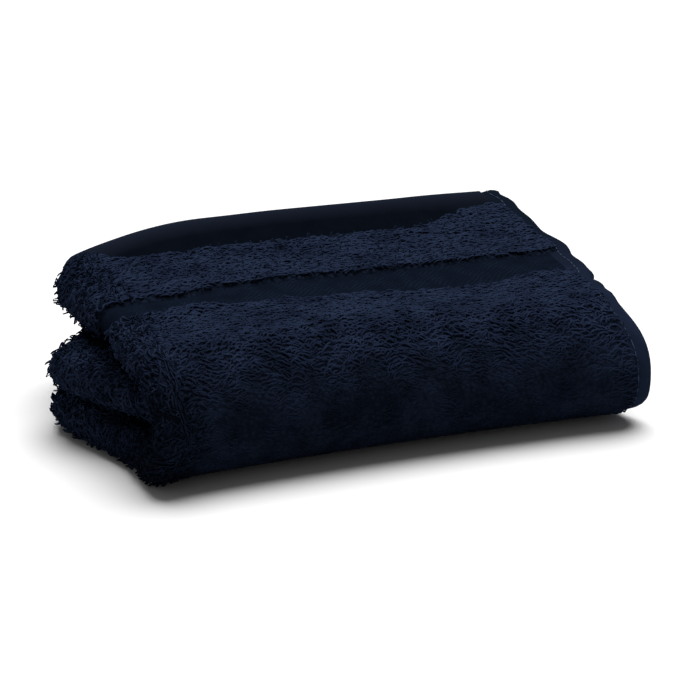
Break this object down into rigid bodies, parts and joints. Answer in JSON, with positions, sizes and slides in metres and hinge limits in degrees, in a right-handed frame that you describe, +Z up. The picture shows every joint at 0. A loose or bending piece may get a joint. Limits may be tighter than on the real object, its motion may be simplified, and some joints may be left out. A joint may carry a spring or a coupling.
{
  "type": "washcloth",
  "caption": "Deep navy cotton terry washcloth, folded once across and then in three, with a flat woven border and turned hems",
  "frame": {"origin": "bottom centre of the bounding box, on the surface that the folded cloth lies on", "axes": "+X along the long side of the folded cloth, towards its side hems; +Y away from the closed front fold, towards the hem on top; +Z up"},
  "size_m": [0.166, 0.1056, 0.0446],
  "materials": {
    "navy_terry": "uncut cotton terry pile, matte"
  },
  "bodies": {
    "root": {"washcloth": "navy_terry"}
  },
  "joints": []
}
